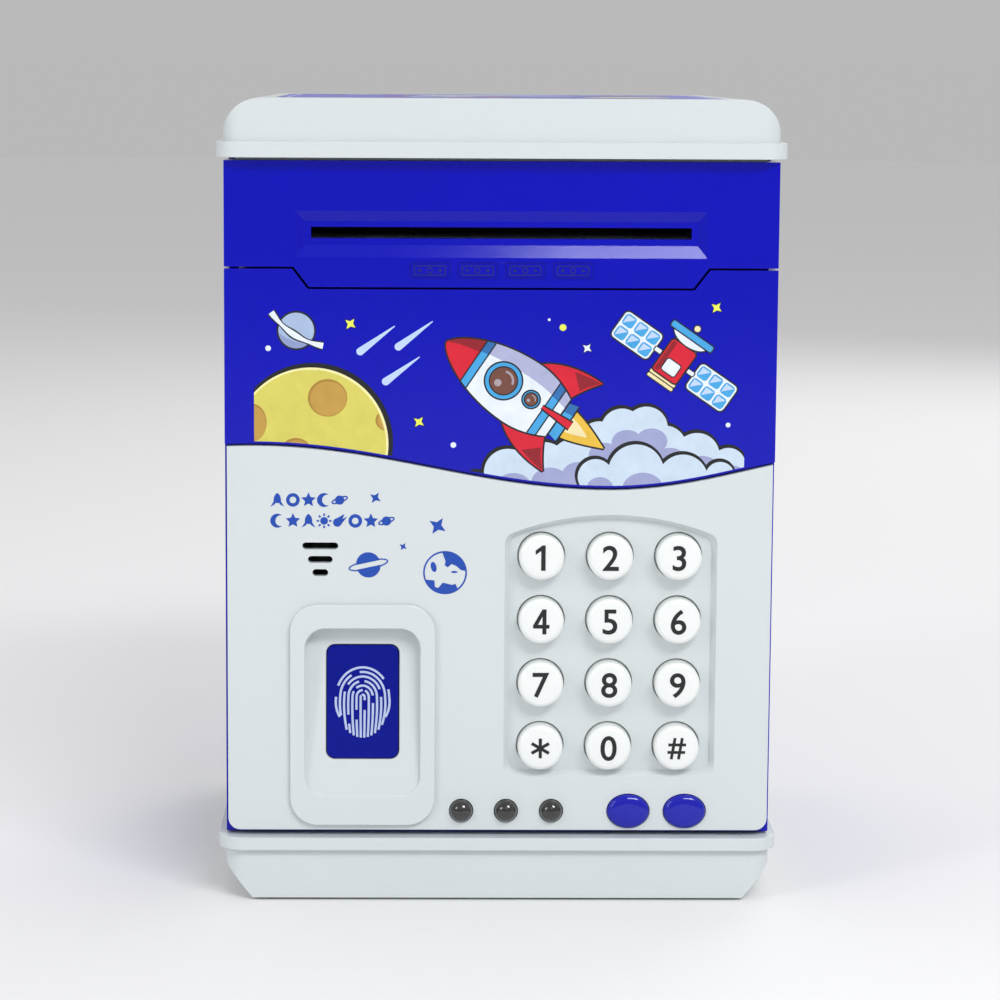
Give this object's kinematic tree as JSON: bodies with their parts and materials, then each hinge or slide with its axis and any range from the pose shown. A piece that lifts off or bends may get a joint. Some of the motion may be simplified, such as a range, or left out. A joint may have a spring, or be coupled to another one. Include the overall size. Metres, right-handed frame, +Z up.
{
  "type": "toy atm savings bank",
  "caption": "Box-shaped toy cash-machine money bank with a hinged keypad door, fingerprint pad, motor-fed banknote slot and a coin slot in the lid.",
  "frame": {"origin": "middle of the footprint, on the surface that the feet stand on", "axes": "+X right, +Y to the back (the keypad door faces -Y), +Z up"},
  "size_m": [0.14, 0.126, 0.2],
  "materials": {
    "white_gloss": "moulded, semi-gloss white",
    "blue_gloss": "moulded, glossy ultramarine",
    "button_blue": "glossy, domed",
    "label_print": "printed vinyl sticker, satin",
    "pad_blue": "printed film over plastic",
    "smoke_lens": "smoked, polished",
    "rubber_dark": "matte",
    "silicone": "matte translucent grey",
    "steel": "zinc plated",
    "brass": "plain",
    "gear_white": "natural acetal",
    "inner_grey": "plain moulded",
    "inner_black": "plain moulded",
    "board_green": "solder mask",
    "cell_wrap": "printed sleeve"
  },
  "bodies": {
    "case": {"base": "white_gloss", "feet": "rubber_dark", "body_shell": "blue_gloss", "top_cap": "white_gloss", "top_label": "label_print", "side_labels": "label_print", "coin_chute": "inner_grey", "fascia": "blue_gloss", "hinge_pins": "steel", "strike": "steel", "feeder_frame": "inner_grey", "note_guide": "inner_grey", "note_sensor": "inner_black", "idler_bridge": "inner_grey", "shaft_bushes": "brass", "feed_motor": "steel", "gear_stub": "steel", "battery_box": "inner_black", "battery_contacts": "steel", "battery_cells": "cell_wrap", "case_screws": "steel"},
    "door": {"door_shell": "blue_gloss", "door_panel": "white_gloss", "art_label": "label_print", "door_back": "inner_grey", "door_screws": "steel", "keypad_board": "board_green", "board_parts": "inner_black", "keypad_membrane": "silicone", "lamps": "smoke_lens", "speaker": "inner_black", "speaker_magnet": "steel", "fingerprint_bezel": "white_gloss", "fingerprint_board": "board_green", "latch_motor": "steel"},
    "feed_roller": {"feed_shaft": "steel", "feed_tyres": "rubber_dark", "roller_gear": "gear_white"},
    "idler": {"idler_roller": "gear_white"},
    "reducer": {"reduction_gear": "gear_white"},
    "pinion": {"motor_pinion": "gear_white"},
    "cover": {"battery_cover": "blue_gloss", "battery_screw": "steel"},
    "latch": {"latch_bolt": "steel"},
    "latch_gear": {"latch_pinion": "gear_white"},
    "finger_pad": {"fingerprint_pad": "pad_blue"},
    "oval_1": {"oval_button_1": "button_blue"},
    "oval_2": {"oval_button_2": "button_blue"},
    "key_1": {"key_1": "white_gloss"},
    "key_2": {"key_2": "white_gloss"},
    "key_3": {"key_3": "white_gloss"},
    "key_4": {"key_4": "white_gloss"},
    "key_5": {"key_5": "white_gloss"},
    "key_6": {"key_6": "white_gloss"},
    "key_7": {"key_7": "white_gloss"},
    "key_8": {"key_8": "white_gloss"},
    "key_9": {"key_9": "white_gloss"},
    "key_star": {"key_star": "white_gloss"},
    "key_0": {"key_0": "white_gloss"},
    "key_hash": {"key_hash": "white_gloss"}
  },
  "joints": [
    {"name": "door_hinge", "type": "hinge", "parent": "case", "child": "door", "pos_m": [-0.0638, -0.0447, 0.088], "axis": [0, 0, 1], "range_deg": [-90, 0]},
    {"name": "latch_slide", "type": "slide", "parent": "door", "child": "latch", "axis": [1, 0, 0], "range_m": [0, 0.005]},
    {"name": "latch_gear_turn", "type": "hinge", "parent": "door", "child": "latch_gear", "pos_m": [0.049, -0.0464, 0.1135], "axis": [0, 1, 0], "range_deg": [0, 72]},
    {"name": "feed_roller_turn", "type": "hinge", "parent": "case", "child": "feed_roller", "pos_m": [0, -0.03, 0.16005], "axis": [1, 0, 0], "continuous": true},
    {"name": "idler_turn", "type": "hinge", "parent": "case", "child": "idler", "pos_m": [0, -0.03, 0.17235], "axis": [1, 0, 0], "continuous": true},
    {"name": "reducer_turn", "type": "hinge", "parent": "case", "child": "reducer", "pos_m": [0.06, -0.01794, 0.1639], "axis": [1, 0, 0], "continuous": true},
    {"name": "pinion_turn", "type": "hinge", "parent": "case", "child": "pinion", "pos_m": [0.062, -0.01101, 0.1519], "axis": [1, 0, 0], "continuous": true},
    {"name": "cover_slide", "type": "slide", "parent": "case", "child": "cover", "axis": [0, 1, 0], "range_m": [0, 0.03]},
    {"name": "finger_press", "type": "slide", "parent": "door", "child": "finger_pad", "axis": [0, 0.9962, -0.0872], "range_m": [0, 0.0008], "stiffness_N_per_m": 300},
    {"name": "oval_1_press", "type": "slide", "parent": "door", "child": "oval_1", "axis": [0, 1, 0], "range_m": [0, 0.0012], "stiffness_N_per_m": 250},
    {"name": "oval_2_press", "type": "slide", "parent": "door", "child": "oval_2", "axis": [0, 1, 0], "range_m": [0, 0.0012], "stiffness_N_per_m": 250},
    {"name": "key_1_press", "type": "slide", "parent": "door", "child": "key_1", "axis": [0, 1, 0], "range_m": [0, 0.0015], "stiffness_N_per_m": 200},
    {"name": "key_2_press", "type": "slide", "parent": "door", "child": "key_2", "axis": [0, 1, 0], "range_m": [0, 0.0015], "stiffness_N_per_m": 200},
    {"name": "key_3_press", "type": "slide", "parent": "door", "child": "key_3", "axis": [0, 1, 0], "range_m": [0, 0.0015], "stiffness_N_per_m": 200},
    {"name": "key_4_press", "type": "slide", "parent": "door", "child": "key_4", "axis": [0, 1, 0], "range_m": [0, 0.0015], "stiffness_N_per_m": 200},
    {"name": "key_5_press", "type": "slide", "parent": "door", "child": "key_5", "axis": [0, 1, 0], "range_m": [0, 0.0015], "stiffness_N_per_m": 200},
    {"name": "key_6_press", "type": "slide", "parent": "door", "child": "key_6", "axis": [0, 1, 0], "range_m": [0, 0.0015], "stiffness_N_per_m": 200},
    {"name": "key_7_press", "type": "slide", "parent": "door", "child": "key_7", "axis": [0, 1, 0], "range_m": [0, 0.0015], "stiffness_N_per_m": 200},
    {"name": "key_8_press", "type": "slide", "parent": "door", "child": "key_8", "axis": [0, 1, 0], "range_m": [0, 0.0015], "stiffness_N_per_m": 200},
    {"name": "key_9_press", "type": "slide", "parent": "door", "child": "key_9", "axis": [0, 1, 0], "range_m": [0, 0.0015], "stiffness_N_per_m": 200},
    {"name": "key_star_press", "type": "slide", "parent": "door", "child": "key_star", "axis": [0, 1, 0], "range_m": [0, 0.0015], "stiffness_N_per_m": 200},
    {"name": "key_0_press", "type": "slide", "parent": "door", "child": "key_0", "axis": [0, 1, 0], "range_m": [0, 0.0015], "stiffness_N_per_m": 200},
    {"name": "key_hash_press", "type": "slide", "parent": "door", "child": "key_hash", "axis": [0, 1, 0], "range_m": [0, 0.0015], "stiffness_N_per_m": 200}
  ],
  "couplings": [
    {"joint": "idler_turn", "follows": "feed_roller_turn", "ratio": -1.4},
    {"joint": "reducer_turn", "follows": "feed_roller_turn", "ratio": -2.5},
    {"joint": "pinion_turn", "follows": "feed_roller_turn", "ratio": 9},
    {"joint": "latch_gear_turn", "follows": "latch_slide", "rad_per_m": 250}
  ]
}
